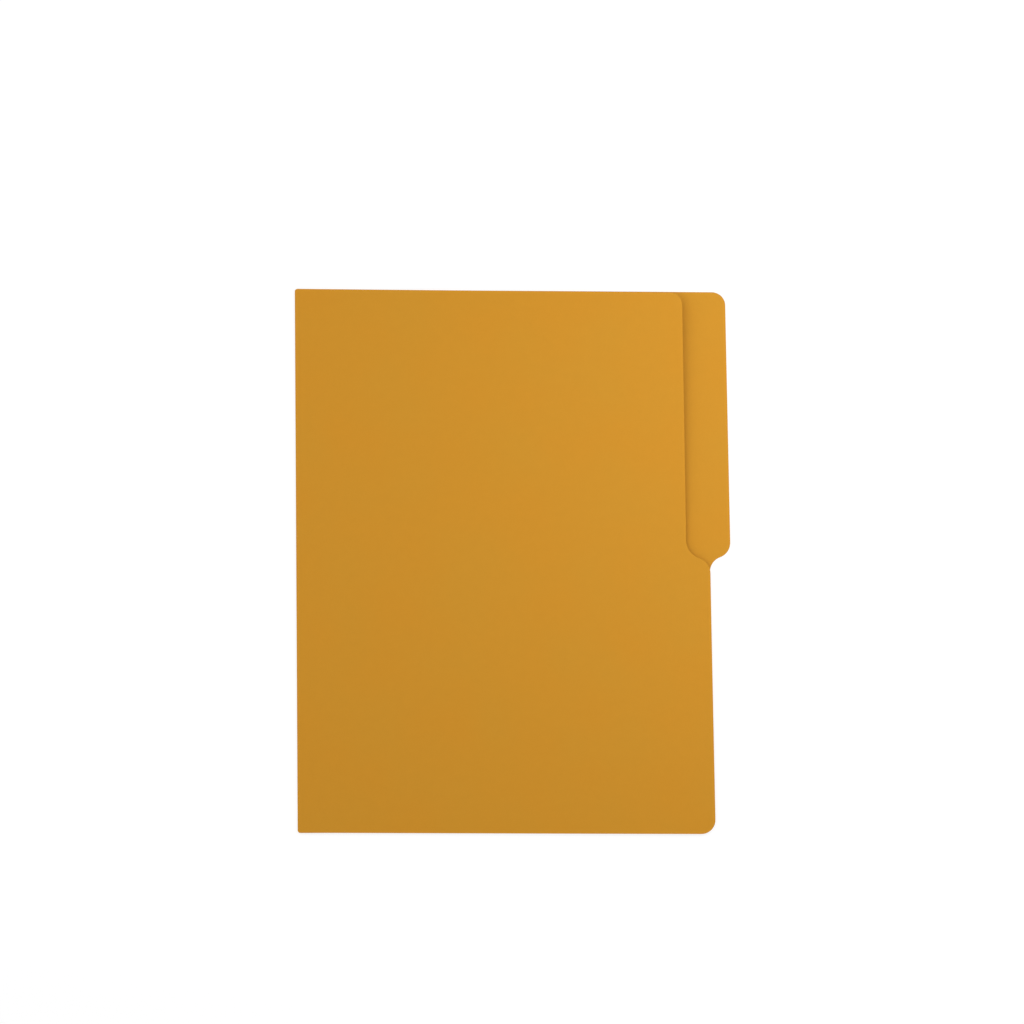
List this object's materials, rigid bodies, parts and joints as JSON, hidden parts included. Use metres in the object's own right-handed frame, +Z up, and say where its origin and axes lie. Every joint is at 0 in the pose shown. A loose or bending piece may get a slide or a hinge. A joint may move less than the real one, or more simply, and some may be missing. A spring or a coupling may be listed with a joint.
{
  "type": "file folder",
  "caption": "Letter-size card file folder, lying closed: a back leaf with a half-length rounded tab and a cut-back front leaf that hinges at the fold.",
  "frame": {"origin": "on the surface that the closed folder lies on, below the middle of its box", "axes": "+Z up from the back leaf to the front leaf, +Y along the fold from the foot to the head, where the tab is, +X across from the fold to the tab"},
  "size_m": [0.2374, 0.2986, 0.0055],
  "materials": {
    "card": "matte"
  },
  "bodies": {
    "back": {"back_leaf": "card", "fold_back_half": "card"},
    "front": {"front_leaf": "card", "fold_front_half": "card"}
  },
  "joints": [
    {"name": "fold_hinge", "type": "hinge", "parent": "back", "child": "front", "pos_m": [-0.11875, 0, 0.00076], "axis": [0, -1, 0], "range_deg": [0, 179]}
  ]
}
